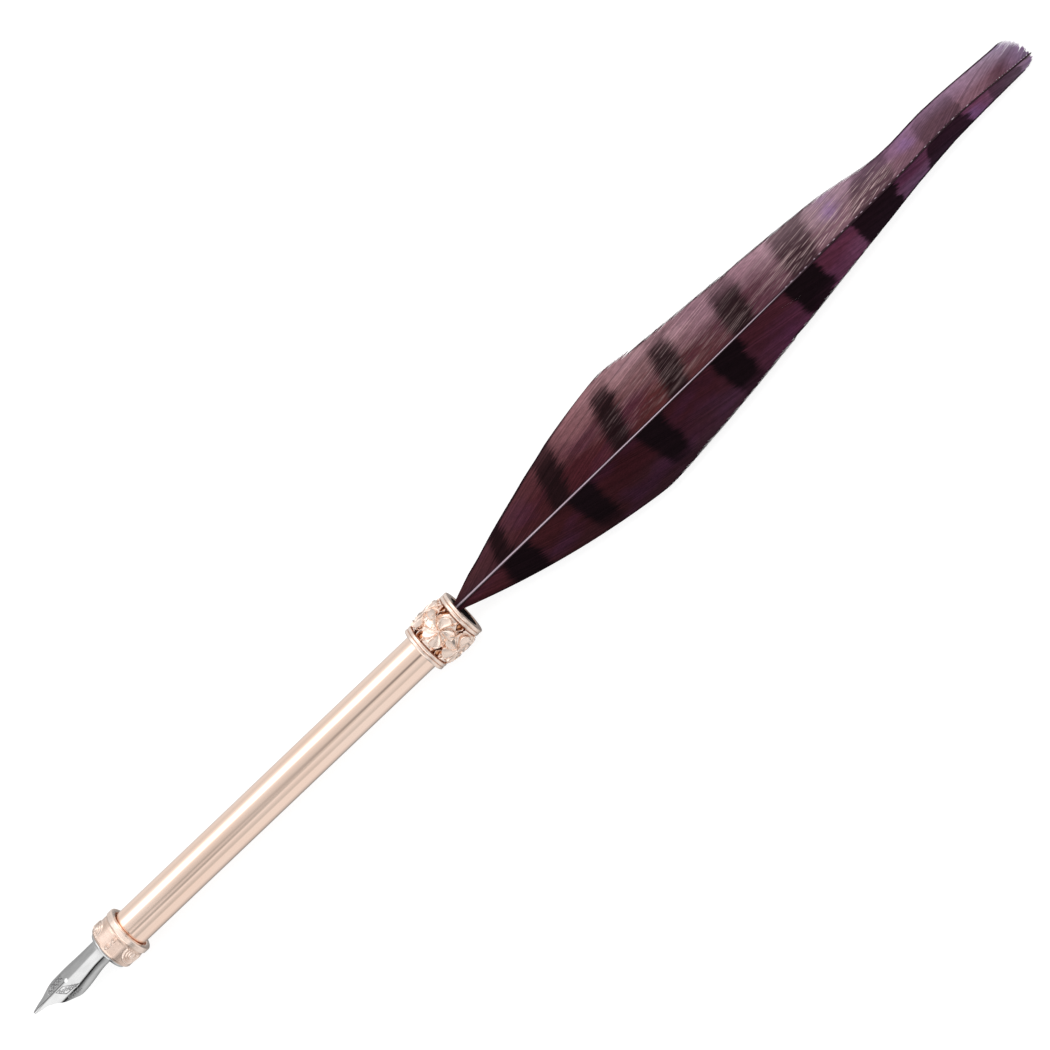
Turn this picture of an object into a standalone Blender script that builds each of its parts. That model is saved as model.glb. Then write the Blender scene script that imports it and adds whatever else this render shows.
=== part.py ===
"""A feather dip pen lying on its side: a steel nib, a polished metal barrel between two cast rings, and a feather.

Everything is placed along the pen's own axis. X runs from the nib's tip towards the feather, Y is to the left of
someone who looks along +X, and Z points up, out of the top of the feather. At the end the whole pen is moved so that
its box stands centred on the world's origin.
"""

import math
from bisect import bisect_right

import bmesh
import bpy
from mathutils import Vector

MM = 0.001
FACETS = 48
HALF_FACET = math.pi / FACETS
GAP = 0.05 * MM
MERGE = 0.001 * MM

# Stations along the axis, from the nib's tip.
FERRULE_FRONT = 21.0 * MM
COLLAR_FRONT = 21.7 * MM
BARREL_FRONT = 24.5 * MM
COLLAR_REAR = 28.0 * MM
NIB_REAR = 29.2 * MM
FERRULE_REAR = 31.0 * MM
FRONT_BUSH_REAR = 39.0 * MM
QUILL_END = 110.5 * MM
REAR_BUSH_FRONT = 108.0 * MM
CROWN_FRONT = 114.7 * MM
BARREL_REAR = 117.0 * MM
REAR_BUSH_REAR = 119.5 * MM
GROMMET_REAR = 124.5 * MM
VANE_START = 125.2 * MM
CROWN_REAR = 126.7 * MM
FEATHER_END = 291.0 * MM

# Radii of the pieces that share the axis, from the outside in.
COLLAR_RADIUS = 5.8 * MM
CROWN_RADIUS = 5.6 * MM
CROWN_BORE = 4.8 * MM
LINER_RADIUS = CROWN_BORE - GAP
BARREL_RADIUS = 4.25 * MM
BARREL_BORE = 3.9 * MM
BUSH_RADIUS = BARREL_BORE - GAP
FERRULE_LIP_RADIUS = 4.8 * MM
FERRULE_BORE = 3.63 * MM

# The nib lies against the +Y side of the ferrule's bore, and is rolled towards it.
NIB_RADIUS = 2.8 * MM
NIB_SHEET = 0.25 * MM
NIB_OFFSET = 0.78 * MM
NIB_ROLL = math.radians(24)
NIB_SHOULDER = 10.4 * MM
BREATHER_RADIUS = 0.5 * MM
SLIT_WIDTH = 0.08 * MM
CORE_RADIUS = NIB_RADIUS - NIB_SHEET - GAP
CORE_FRONT = 22.5 * MM
CORE_REAR = 37.0 * MM

# The crown's flowers.
FLOWERS = 6
PETALS = 5
FIRST_FLOWER = math.radians(6)
FLOWER_RADIUS = 3.6 * MM
FLOWER_TOP = 6.5 * MM
FLOWER_BASE = 5.0 * MM
CROWN_WALL = 5.2 * MM
RIM_WIDTH = 1.7 * MM

# The feather.
QUILL_RADIUS = 1.15 * MM
RACHIS_RADIUS = 0.45 * MM
RACHIS_TIP_RADIUS = 0.2 * MM
QUILL_OFFSET = 1.67 * MM
VANE_SHEET = 0.35 * MM
VANE_STATIONS = 44
VANE_COLUMNS = 5


def curve_through(knots):
    """A smooth function through (x, value) knots, both in millimetres, that never overshoots them."""
    xs = [x for x, _ in knots]
    values = [value for _, value in knots]
    steps = [(b - a) / (q - p) for a, b, p, q in zip(values, values[1:], xs, xs[1:])]
    inner = [2 * a * b / (a + b) if a * b > 0 else 0.0 for a, b in zip(steps, steps[1:])]
    slopes = [steps[0], *inner, steps[-1]]

    def value_at(x):
        x = min(max(x / MM, xs[0]), xs[-1])
        i = min(bisect_right(xs, x) - 1, len(xs) - 2)
        width = xs[i + 1] - xs[i]
        t = (x - xs[i]) / width
        start = values[i] * (1 + 2 * t) * (1 - t) ** 2 + slopes[i] * width * t * (1 - t) ** 2
        end = values[i + 1] * (3 - 2 * t) * t**2 + slopes[i + 1] * width * (t - 1) * t**2
        return (start + end) * MM

    return value_at


# The feather seen from above: the lines of its stem and of its two outer edges, as Y along X. Each curve keeps its
# first value before its first station, so the quill runs straight into the crown.
stem_line = curve_through([(125.0, 1.67), (150.0, 1.8), (197.0, 2.2), (252.0, 3.2), (270.0, 3.95), (291.0, 2.8)])
left_edge = curve_through(
    [(125.0, 2.6), (150.0, 10.1), (168.0, 14.7), (181.0, 16.65), (192.0, 15.4), (238.0, 11.9), (256.0, 9.35),
     (267.0, 9.85), (286.0, 9.0), (289.5, 7.6), (291.0, 3.4)]
)
right_edge = curve_through(
    [(125.0, 0.7), (149.0, -6.3), (164.0, -9.7), (176.0, -10.8), (190.0, -9.7), (245.0, -2.4), (258.0, -0.6),
     (270.0, 0.5), (286.0, 0.95), (289.5, 1.5), (291.0, 2.2)]
)
# The same stem seen from the side: it arches a little and then droops.
stem_height = curve_through([(125.0, 0.0), (185.0, 0.9), (240.0, -0.4), (291.0, -3.6)])

# The nib's section at each station: the height of its top line, the radius of its sheet, and half its arc, which
# is in degrees and read as millimetres so that one kind of curve serves all three.
nib_height = curve_through([(0.0, 0.7), (3.0, 1.25), (7.0, 1.6), (10.4, 1.9), (14.0, 2.25), (19.0, 2.8), (29.2, 2.8)])
nib_bend = curve_through([(0.0, 1.3), (3.0, 3.2), (6.0, 3.45), (10.4, 3.42), (19.0, 2.8), (29.2, 2.8)])
nib_half_arc = curve_through([(0.0, 15.0), (3.0, 18.0), (5.0, 31.0), (7.0, 55.0), (9.0, 75.0), (10.4, 94.0),
                              (12.0, 100.0), (19.0, 116.0), (29.2, 116.0)])


def clear_scene():
    for obj in list(bpy.data.objects):
        bpy.data.objects.remove(obj, do_unlink=True)


def new_collection(name):
    collection = bpy.data.collections.new(name)
    bpy.context.scene.collection.children.link(collection)
    return collection


def material(name, colour, roughness, metallic):
    made = bpy.data.materials.new(name)
    made.use_nodes = True
    shader = made.node_tree.nodes["Principled BSDF"]
    shader.inputs["Base Color"].default_value = (*colour, 1.0)
    shader.inputs["Roughness"].default_value = roughness
    shader.inputs["Metallic"].default_value = metallic
    return made


def rose_gold(name):
    return material(name, (0.86, 0.62, 0.52), 0.2, 1.0)


def steel(name):
    return material(name, (0.62, 0.62, 0.64), 0.25, 1.0)


def copper(name):
    return material(name, (0.72, 0.36, 0.2), 0.35, 1.0)


def brass(name):
    return material(name, (0.78, 0.6, 0.3), 0.4, 1.0)


def add_object(name, data, collection):
    obj = bpy.data.objects.new(name, data)
    collection.objects.link(obj)
    return obj


def mesh_object(name, shape, collection):
    """Turns a bmesh into an object and frees it."""
    mesh = bpy.data.meshes.new(name)
    shape.to_mesh(mesh)
    shape.free()
    return add_object(name, mesh, collection)


def turned(name, profile, collection, offset_y=0.0):
    """A piece turned about the pen's axis, or about a line beside it.

    The profile's (x, radius) points run along the outside from rear to front. A hollow piece's then run back
    along the inside, and a solid piece's start and end on the axis.
    """
    shape = bmesh.new()
    points = [
        shape.verts.new((radius * math.cos(HALF_FACET), radius * math.sin(HALF_FACET), x))
        for x, radius in profile
    ]
    is_solid = profile[0][1] == 0.0
    ends = points[1:] if is_solid else points[1:] + points[:1]
    for start, end in zip(points, ends):
        shape.edges.new((start, end))
    obj = mesh_object(name, shape, collection)
    obj.location.y = offset_y
    obj.rotation_euler.y = math.radians(90)
    screw = obj.modifiers.new("turn", "SCREW")
    screw.steps = FACETS
    screw.render_steps = FACETS
    screw.use_merge_vertices = True
    screw.merge_threshold = MERGE
    screw.use_smooth_shade = True
    return obj


def tube(name, front, rear, radius, bore, collection):
    return turned(name, [(rear, radius), (front, radius), (front, bore), (rear, bore)], collection)


def rod(name, front, rear, radius, collection, offset_y=0.0):
    return turned(name, [(rear, 0.0), (rear, radius), (front, radius), (front, 0.0)], collection, offset_y)


def cut(obj, cutter, name, operation="DIFFERENCE"):
    modifier = obj.modifiers.new(name, "BOOLEAN")
    modifier.operation = operation
    modifier.object = cutter


def make_nib_ferrule(parts):
    """The steel sleeve that the nib pushes into. Its lip stands just in front of the collar."""
    chamfer = 0.15 * MM
    lip_rear = COLLAR_FRONT - GAP
    obj = turned(
        "nib_ferrule",
        [
            (FERRULE_REAR, BUSH_RADIUS),
            (lip_rear, BUSH_RADIUS),
            (lip_rear, FERRULE_LIP_RADIUS),
            (FERRULE_FRONT + chamfer, FERRULE_LIP_RADIUS),
            (FERRULE_FRONT, FERRULE_LIP_RADIUS - chamfer),
            (FERRULE_FRONT, FERRULE_BORE + chamfer),
            (FERRULE_FRONT + chamfer, FERRULE_BORE),
            (FERRULE_REAR, FERRULE_BORE),
        ],
        parts,
    )
    obj.data.materials.append(steel("ferrule steel"))
    return obj


def make_front_collar(parts):
    """The cast ring: a rounded front edge, a plain body, a shallow groove and a raised rim at the rear."""
    edge = 0.5 * MM
    body = COLLAR_RADIUS - 0.1 * MM
    groove = COLLAR_RADIUS - 0.3 * MM
    rim_front = COLLAR_REAR - 1.6 * MM
    ferrule_hole = BARREL_BORE
    barrel_socket = BARREL_RADIUS + GAP
    obj = turned(
        "front_collar",
        [
            (COLLAR_REAR, COLLAR_RADIUS - 0.25 * MM),
            (COLLAR_REAR - 0.25 * MM, COLLAR_RADIUS),
            (rim_front, COLLAR_RADIUS),
            (rim_front - 0.2 * MM, groove),
            (rim_front - 0.5 * MM, body),
            (COLLAR_FRONT + edge, body),
            (COLLAR_FRONT + 0.3 * edge, body - 0.3 * edge),
            (COLLAR_FRONT, body - edge),
            (COLLAR_FRONT, ferrule_hole),
            (BARREL_FRONT - GAP, ferrule_hole),
            (BARREL_FRONT - GAP, barrel_socket),
            (COLLAR_REAR, barrel_socket),
        ],
        parts,
    )
    obj.data.materials.append(rose_gold("collar rose gold"))
    return obj


def make_barrel_tube(parts):
    obj = tube("barrel_tube", BARREL_FRONT, BARREL_REAR, BARREL_RADIUS, BARREL_BORE, parts)
    obj.data.materials.append(rose_gold("barrel rose gold"))
    return obj


def make_nib_core(parts):
    """The pin that fills the nib's back end and holds it against the ferrule."""
    obj = turned(
        "nib_core",
        [
            (CORE_REAR, 0.0),
            (CORE_REAR, CORE_RADIUS),
            (CORE_FRONT + 1.5 * MM, CORE_RADIUS),
            (CORE_FRONT, CORE_RADIUS - 0.6 * MM),
            (CORE_FRONT, 0.0),
        ],
        parts,
        NIB_OFFSET,
    )
    obj.data.materials.append(steel("core steel"))
    return obj


def make_front_bush(parts, cutters):
    """The plug behind the ferrule, with an off-centre socket for the core."""
    front = FERRULE_REAR + GAP
    obj = rod("front_bush", front, FRONT_BUSH_REAR, BUSH_RADIUS, parts)
    obj.data.materials.append(brass("front bush brass"))
    socket = rod("core_socket", front - 1 * MM, CORE_REAR + GAP, CORE_RADIUS + GAP, cutters, NIB_OFFSET)
    cut(obj, socket, "core socket")
    return obj


def make_rear_bush(parts, cutters):
    """The plug that joins the barrel to the crown, with an off-centre socket for the quill's end."""
    step = BARREL_REAR + GAP
    obj = turned(
        "rear_bush",
        [
            (REAR_BUSH_REAR, 0.0),
            (REAR_BUSH_REAR, BARREL_RADIUS),
            (step, BARREL_RADIUS),
            (step, BUSH_RADIUS),
            (REAR_BUSH_FRONT, BUSH_RADIUS),
            (REAR_BUSH_FRONT, 0.0),
        ],
        parts,
    )
    obj.data.materials.append(brass("rear bush brass"))
    socket_end = REAR_BUSH_REAR + 1 * MM
    socket = rod("quill_socket", QUILL_END - GAP, socket_end, QUILL_RADIUS + 2 * GAP, cutters, QUILL_OFFSET)
    cut(obj, socket, "quill socket")
    return obj


def make_crown_liner(parts):
    """The thin sleeve behind the openwork. It runs over the end of the barrel and round the grommet."""
    margin = 0.3 * MM
    bore = BARREL_RADIUS + GAP
    obj = tube("crown_liner", CROWN_FRONT + margin, CROWN_REAR - margin, LINER_RADIUS, bore, parts)
    obj.data.materials.append(copper("liner copper"))
    return obj


def double_bead(front):
    """The outline of a rim made of two beads side by side, from rear to front."""
    width = RIM_WIDTH / 2
    valley = CROWN_RADIUS - 0.3 * MM
    outline = []
    for start in (front + width, front):
        outline.append((start + 0.98 * width, valley))
        outline.append((start + 0.7 * width, CROWN_RADIUS))
        outline.append((start + 0.3 * width, CROWN_RADIUS))
        outline.append((start + 0.02 * width, valley))
    return outline


def wrapped(angle, along, radius):
    """The point at this angle about the axis, counted from the top towards +Y."""
    return Vector((along, radius * math.sin(angle), radius * math.cos(angle)))


def make_flower(index, cutters):
    """One five-petal flower as a lobed dome, bent round the crown."""
    centre = FIRST_FLOWER + index * 2 * math.pi / FLOWERS
    middle = (CROWN_FRONT + CROWN_REAR) / 2
    shape = bmesh.new()
    bmesh.ops.create_uvsphere(shape, u_segments=30, v_segments=8, radius=1.0)
    for vert in shape.verts:
        across, along, up = vert.co
        turn = math.atan2(across, along)
        reach = FLOWER_RADIUS * (0.84 + 0.16 * math.cos(PETALS * turn))
        radius = FLOWER_BASE + (FLOWER_TOP - FLOWER_BASE) * max(up, 0.0) + 0.1 * MM * min(up, 0.0)
        vert.co = wrapped(centre + across * reach / FLOWER_TOP, middle + along * reach, radius)
    bmesh.ops.recalc_face_normals(shape, faces=shape.faces)
    return mesh_object(f"flower_{index + 1}", shape, cutters)


def make_openings(cutters):
    """The windows of the openwork: one near each rim in each space between two flowers."""
    reach = 1.5 * MM
    shape = bmesh.new()
    for index in range(FLOWERS):
        angle = FIRST_FLOWER + (index + 0.5) * 2 * math.pi / FLOWERS
        for rim, side in ((CROWN_FRONT + RIM_WIDTH, 1), (CROWN_REAR - RIM_WIDTH, -1)):
            made = bmesh.ops.create_cone(
                shape, cap_ends=True, segments=3, radius1=reach, radius2=reach, depth=2 * MM
            )
            for vert in made["verts"]:
                across, along, up = vert.co
                along = rim + side * (0.5 * reach + 0.3 * MM) + side * along
                vert.co = wrapped(angle + across / CROWN_WALL, along, CROWN_WALL + up)
    bmesh.ops.recalc_face_normals(shape, faces=shape.faces)
    return mesh_object("openwork_windows", shape, cutters)


def make_crown_band(parts, cutters):
    """The cast crown: a wall between two double-bead rims, pierced, with six flowers on it."""
    rear_rim = double_bead(CROWN_REAR - RIM_WIDTH)
    front_rim = double_bead(CROWN_FRONT)
    face = CROWN_RADIUS - 0.3 * MM
    obj = turned(
        "crown_band",
        [
            (CROWN_REAR, face),
            *rear_rim,
            (CROWN_REAR - RIM_WIDTH, CROWN_WALL),
            (CROWN_FRONT + RIM_WIDTH, CROWN_WALL),
            *front_rim,
            (CROWN_FRONT, face),
            (CROWN_FRONT, CROWN_BORE),
            (CROWN_REAR, CROWN_BORE),
        ],
        parts,
    )
    obj.data.materials.append(rose_gold("crown rose gold"))
    cut(obj, make_openings(cutters), "openwork")
    for index in range(FLOWERS):
        cut(obj, make_flower(index, cutters), f"flower {index + 1}", "UNION")
    return obj


def make_feather_grommet(parts, cutters):
    """The soft plug that grips the quill inside the crown. Its rear face is dished."""
    rear = GROMMET_REAR
    front = REAR_BUSH_REAR + GAP
    obj = turned(
        "feather_grommet",
        [
            (rear - 0.8 * MM, 0.0),
            (rear - 0.6 * MM, 0.6 * BARREL_RADIUS),
            (rear, 0.9 * BARREL_RADIUS),
            (rear, BARREL_RADIUS),
            (front, BARREL_RADIUS),
            (front, 0.0),
        ],
        parts,
    )
    obj.data.materials.append(material("grommet rubber", (0.03, 0.02, 0.025), 0.7, 0.0))
    hole = rod("quill_hole", front - 1 * MM, rear + 1 * MM, QUILL_RADIUS + 2 * GAP, cutters, QUILL_OFFSET)
    cut(obj, hole, "quill hole")
    return obj


def make_nib(parts, cutters):
    """The nib: a sheet rolled to the section's arc at each station, slit from its tip to the breather hole."""
    stations = 40
    columns = 16
    shape = bmesh.new()
    bmesh.ops.create_grid(shape, x_segments=stations, y_segments=columns, size=1.0)
    for vert in shape.verts:
        # Stations crowd towards the tip, where the outline turns fastest.
        x = NIB_REAR * ((vert.co.x + 1) / 2) ** 1.3
        bend = nib_bend(x)
        angle = -vert.co.y * math.radians(nib_half_arc(x) / MM)
        vert.co = (x, -bend * math.sin(angle), nib_height(x) - bend + bend * math.cos(angle))
    bmesh.ops.recalc_face_normals(shape, faces=shape.faces)
    if sum((face.normal.z for face in shape.faces)) < 0:
        bmesh.ops.reverse_faces(shape, faces=shape.faces)
    obj = mesh_object("nib", shape, parts)
    obj.data.materials.append(steel("nib steel"))
    obj.data.shade_smooth()
    obj.location.y = NIB_OFFSET
    obj.rotation_euler.x = -NIB_ROLL
    sheet = obj.modifiers.new("sheet", "SOLIDIFY")
    sheet.thickness = NIB_SHEET
    sheet.offset = -1.0
    sheet.use_even_offset = True
    cut(obj, make_slit(obj, cutters), "slit")
    cut(obj, make_breather(obj, cutters), "breather hole")
    return obj


def make_slit(nib, cutters):
    """A thin blade along the nib's top line, from ahead of the tip to the breather hole."""
    front = -1 * MM
    height = 2 * NIB_RADIUS
    shape = bmesh.new()
    bmesh.ops.create_cube(shape, size=1.0)
    for vert in shape.verts:
        x, y, z = vert.co
        vert.co = (front + (x + 0.5) * (NIB_SHOULDER - front), y * SLIT_WIDTH, (z + 0.5) * height)
    return placed_like(nib, mesh_object("slit_blade", shape, cutters))


def make_breather(nib, cutters):
    depth = 2 * NIB_RADIUS
    shape = bmesh.new()
    bmesh.ops.create_cone(
        shape, cap_ends=True, segments=16, radius1=BREATHER_RADIUS, radius2=BREATHER_RADIUS, depth=depth
    )
    bmesh.ops.translate(shape, verts=shape.verts, vec=(NIB_SHOULDER, 0.0, depth / 2))
    return placed_like(nib, mesh_object("breather_punch", shape, cutters))


def placed_like(model, obj):
    obj.location = model.location
    obj.rotation_euler = model.rotation_euler
    return obj


def shaft_radius(x):
    """The quill inside the crown, a short neck at its mouth, and the tapering stem beyond."""
    neck_start = GROMMET_REAR
    if x <= neck_start:
        return QUILL_RADIUS
    if x <= VANE_START:
        share = (x - neck_start) / (VANE_START - neck_start)
        return QUILL_RADIUS + (RACHIS_RADIUS - QUILL_RADIUS) * share
    share = (x - VANE_START) / (FEATHER_END - VANE_START)
    return RACHIS_RADIUS + (RACHIS_TIP_RADIUS - RACHIS_RADIUS) * share


def make_feather_shaft(parts):
    """The quill and stem, one tapering rod along the feather's line."""
    quill = [QUILL_END, GROMMET_REAR]
    steps = 34
    stem = [VANE_START + (FEATHER_END - VANE_START) * step / steps for step in range(steps + 1)]
    curve = bpy.data.curves.new("feather_shaft", "CURVE")
    curve.dimensions = "3D"
    curve.bevel_depth = 1.0
    curve.bevel_resolution = 2
    curve.use_fill_caps = True
    line = curve.splines.new("POLY")
    line.points.add(len(quill) + len(stem) - 1)
    for point, x in zip(line.points, quill + stem):
        point.co = (x, stem_line(x), stem_height(x), 1.0)
        point.radius = shaft_radius(x)
    obj = add_object("feather_shaft", curve, parts)
    obj.data.materials.append(material("stem", (0.55, 0.47, 0.52), 0.5, 0.0))
    return obj


def vane_drop(reach):
    """How far the vane falls below the stem, this far out from it."""
    near = 0.12
    curl = 0.012 / MM
    return near * reach + curl * reach**2


def make_vane(name, side, edge, colour, parts):
    """One vane: a thin sheet from the stem's side to its outer edge, sloping down and curling as it goes out."""
    shape = bmesh.new()
    bmesh.ops.create_grid(shape, x_segments=VANE_STATIONS, y_segments=VANE_COLUMNS, size=1.0)
    for vert in shape.verts:
        # Stations crowd towards the feather's rounded end.
        share = 1 - (1 - (vert.co.x + 1) / 2) ** 1.4
        x = VANE_START + (FEATHER_END - VANE_START) * share
        stem = stem_line(x)
        inner = shaft_radius(x) + GAP
        outer = max(side * (edge(x) - stem), inner + 0.3 * MM)
        reach = inner + (outer - inner) * (vert.co.y + 1) / 2
        vert.co = (x, stem + side * reach, stem_height(x) - vane_drop(reach))
    if side < 0:
        bmesh.ops.reverse_faces(shape, faces=shape.faces)
    obj = mesh_object(name, shape, parts)
    obj.data.materials.append(material(name, colour, 0.7, 0.0))
    obj.data.shade_smooth()
    sheet = obj.modifiers.new("sheet", "SOLIDIFY")
    sheet.thickness = VANE_SHEET
    sheet.offset = 0.0
    return obj


def stand_on_origin(pieces, helpers):
    """Parents everything to one empty and moves it, so that the pen's box stands centred on the origin."""
    bpy.context.view_layer.update()
    graph = bpy.context.evaluated_depsgraph_get()
    corners = []
    for piece in pieces:
        evaluated = piece.evaluated_get(graph)
        mesh = evaluated.to_mesh()
        corners.extend(evaluated.matrix_world @ vert.co for vert in mesh.vertices)
        evaluated.to_mesh_clear()
    low = Vector(min(corner[axis] for corner in corners) for axis in range(3))
    high = Vector(max(corner[axis] for corner in corners) for axis in range(3))
    pen = bpy.data.objects.new("pen_axis", None)
    bpy.context.scene.collection.objects.link(pen)
    for obj in pieces + helpers:
        obj.parent = pen
    pen.location = (-(low.x + high.x) / 2, -(low.y + high.y) / 2, -low.z)


def main():
    clear_scene()
    parts = new_collection("quill_pen")
    cutters = new_collection("cutters")
    make_nib(parts, cutters)
    make_nib_ferrule(parts)
    make_nib_core(parts)
    make_front_collar(parts)
    make_front_bush(parts, cutters)
    make_barrel_tube(parts)
    make_rear_bush(parts, cutters)
    make_crown_liner(parts)
    make_crown_band(parts, cutters)
    make_feather_grommet(parts, cutters)
    make_feather_shaft(parts)
    make_vane("vane_left", 1, left_edge, (0.16, 0.08, 0.09), parts)
    make_vane("vane_right", -1, right_edge, (0.07, 0.025, 0.045), parts)
    for helper in cutters.objects:
        helper.hide_render = True
        helper.display_type = "WIRE"
    stand_on_origin(list(parts.objects), list(cutters.objects))


main()
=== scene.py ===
"""The looks of a feather dip pen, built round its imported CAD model.

Shapes are worked out in the pen's own frame, in millimetres: X runs along the barrel's axis from the nib's
tip, Y is to the left of someone who looks along +X, and Z points up. Angles about the axis count from the top
towards +Y.
"""

import functools
import math

import bpy
import numpy as np
from mathutils import Matrix, Vector


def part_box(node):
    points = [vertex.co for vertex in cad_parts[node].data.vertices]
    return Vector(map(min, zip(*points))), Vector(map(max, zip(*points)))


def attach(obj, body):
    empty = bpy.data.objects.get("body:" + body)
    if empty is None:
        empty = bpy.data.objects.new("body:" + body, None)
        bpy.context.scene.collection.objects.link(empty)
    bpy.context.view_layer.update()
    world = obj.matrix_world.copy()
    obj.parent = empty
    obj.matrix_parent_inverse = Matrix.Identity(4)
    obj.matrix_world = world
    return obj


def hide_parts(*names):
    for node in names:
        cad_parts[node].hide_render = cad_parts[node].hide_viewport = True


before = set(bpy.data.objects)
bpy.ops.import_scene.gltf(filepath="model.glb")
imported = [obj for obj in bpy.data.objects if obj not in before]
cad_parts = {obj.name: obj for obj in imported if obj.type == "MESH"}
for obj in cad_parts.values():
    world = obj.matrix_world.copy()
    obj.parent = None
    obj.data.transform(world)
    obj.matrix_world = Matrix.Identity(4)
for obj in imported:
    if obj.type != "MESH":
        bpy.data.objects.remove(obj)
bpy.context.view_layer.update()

MM = 0.001
CAD_FACETS = 48

barrel_low, barrel_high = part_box("barrel_tube")
barrel_middle = (barrel_low + barrel_high) / 2
PEN = Vector((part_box("nib")[0].x, barrel_middle.y, barrel_middle.z))


def stations(node):
    """Where a node starts and ends along the pen."""
    low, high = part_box(node)
    return (low.x - PEN.x) / MM, (high.x - PEN.x) / MM


def outer_radius(node):
    """The radius of a turned node, whose flats face up and down."""
    low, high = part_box(node)
    return (high.z - low.z) / 2 / MM / math.cos(math.pi / CAD_FACETS)


FERRULE_FRONT, FERRULE_REAR = stations("nib_ferrule")
COLLAR_FRONT, COLLAR_REAR = stations("front_collar")
BARREL_FRONT, BARREL_REAR = stations("barrel_tube")
CROWN_FRONT, CROWN_REAR = stations("crown_band")
LINER_FRONT, LINER_REAR = stations("crown_liner")
GROMMET_FRONT, GROMMET_REAR = stations("feather_grommet")
CORE_FRONT, CORE_REAR = stations("nib_core")
QUILL_END, FEATHER_END = stations("feather_shaft")
VANE_START = stations("vane_left")[0]
NIB_REAR = stations("nib")[1]

LIP_RADIUS = outer_radius("nib_ferrule")
COLLAR_RADIUS = outer_radius("front_collar")
BARREL_RADIUS = outer_radius("barrel_tube")
LINER_RADIUS = outer_radius("crown_liner")
GROMMET_RADIUS = outer_radius("feather_grommet")
CORE_RADIUS = outer_radius("nib_core")
CROWN_RADIUS = 5.6
CROWN_BORE = 4.8
CROWN_WALL = 5.2
MOUTH_BORE = 3.9
BARREL_BORE = 3.9
SLEEVE_RADIUS = 3.85
FERRULE_BORE = 3.63
GAP = 0.05

# The nib lies against the +Y side of the ferrule's bore, and is rolled towards it.
NIB_SHEET = 0.25
NIB_OFFSET = 0.78
NIB_ROLL = math.radians(24)
BREATHER_X = 10.4
BREATHER_RADIUS = 0.5
SLIT_WIDTH = 0.08

FLOWERS = 6
FIRST_FLOWER = math.radians(6)
RIM_WIDTH = 1.7

QUILL_RADIUS = 1.15
RACHIS_RADIUS = 0.45
RACHIS_TIP_RADIUS = 0.2
VANE_FALL = 0.12
VANE_CURL = 0.012


def curve_through(knots):
    """A smooth function through (x, value) knots that never overshoots them, and stays level outside them."""
    xs, values = np.array(knots, float).T
    steps = np.diff(values) / np.diff(xs)
    before, after = steps[:-1], steps[1:]
    same_way = before * after > 0
    inner = np.where(same_way, 2 * before * after / np.where(same_way, before + after, 1.0), 0.0)
    slopes = np.concatenate([steps[:1], inner, steps[-1:]])

    def value_at(x):
        x = np.clip(x, xs[0], xs[-1])
        i = np.clip(np.searchsorted(xs, x, side="right") - 1, 0, len(xs) - 2)
        width = xs[i + 1] - xs[i]
        t = (x - xs[i]) / width
        start = values[i] * (1 + 2 * t) * (1 - t) ** 2 + slopes[i] * width * t * (1 - t) ** 2
        end = values[i + 1] * (3 - 2 * t) * t**2 + slopes[i + 1] * width * (t - 1) * t**2
        return start + end

    return value_at


# The feather from above: its stem's line and its two outer edges, as Y along X. Then its stem from the side.
stem_line = curve_through([(125, 1.67), (150, 1.8), (197, 2.2), (252, 3.2), (270, 3.95), (291, 2.8)])
left_edge = curve_through([(125, 2.6), (150, 10.1), (168, 14.7), (181, 16.65), (192, 15.4), (238, 11.9),
                           (256, 9.35), (267, 9.85), (286, 9.0)])
right_edge = curve_through([(125, 0.7), (149, -6.3), (164, -9.7), (176, -10.8), (190, -9.7), (245, -2.4),
                            (258, -0.6), (270, 0.5), (286, 0.95)])
stem_height = curve_through([(125, 0), (185, 0.9), (240, -0.4), (291, -3.6)])

# The nib's section at each station: the height of its top line, the radius of its sheet, and half its arc in
# degrees.
nib_height = curve_through([(0, 0.7), (3, 1.25), (7, 1.6), (10.4, 1.9), (14, 2.25), (19, 2.8), (20.5, 2.85),
                            (29.2, 2.8)])
nib_bend = curve_through([(0, 1.3), (3, 3.2), (6, 3.45), (10.4, 3.42), (19, 2.8), (29.2, 2.8)])
nib_half_arc = curve_through([(0, 15), (3, 18), (5, 31), (7, 55), (9, 75), (10.4, 94), (12, 100), (19, 116),
                              (29.2, 116)])


# ---------------------------------------------------------------- stage


def add_camera():
    """Nearly straight down on the pen, with the feather up and to the right."""
    distance = 605.43
    tilt = math.radians(5.6)
    roll = math.radians(43.62)
    target = Vector((148.54, 4.28, 0.0))
    along = Vector((math.cos(tilt), 0.0, -math.sin(tilt)))
    across = Vector((0.0, 1.0, 0.0))
    back = Vector((math.sin(tilt), 0.0, math.cos(tilt)))
    right = along * math.cos(roll) - across * math.sin(roll)
    up = along * math.sin(roll) + across * math.cos(roll)
    data = bpy.data.cameras.new("camera")
    data.lens = 99.43
    data.clip_start = 0.01
    data.clip_end = 50.0
    camera = bpy.data.objects.new("camera", data)
    bpy.context.scene.collection.objects.link(camera)
    placed = Matrix((right, up, back)).transposed().to_4x4()
    placed.translation = PEN + (target + back * distance) * MM
    camera.matrix_world = placed
    bpy.context.scene.camera = camera


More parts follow.
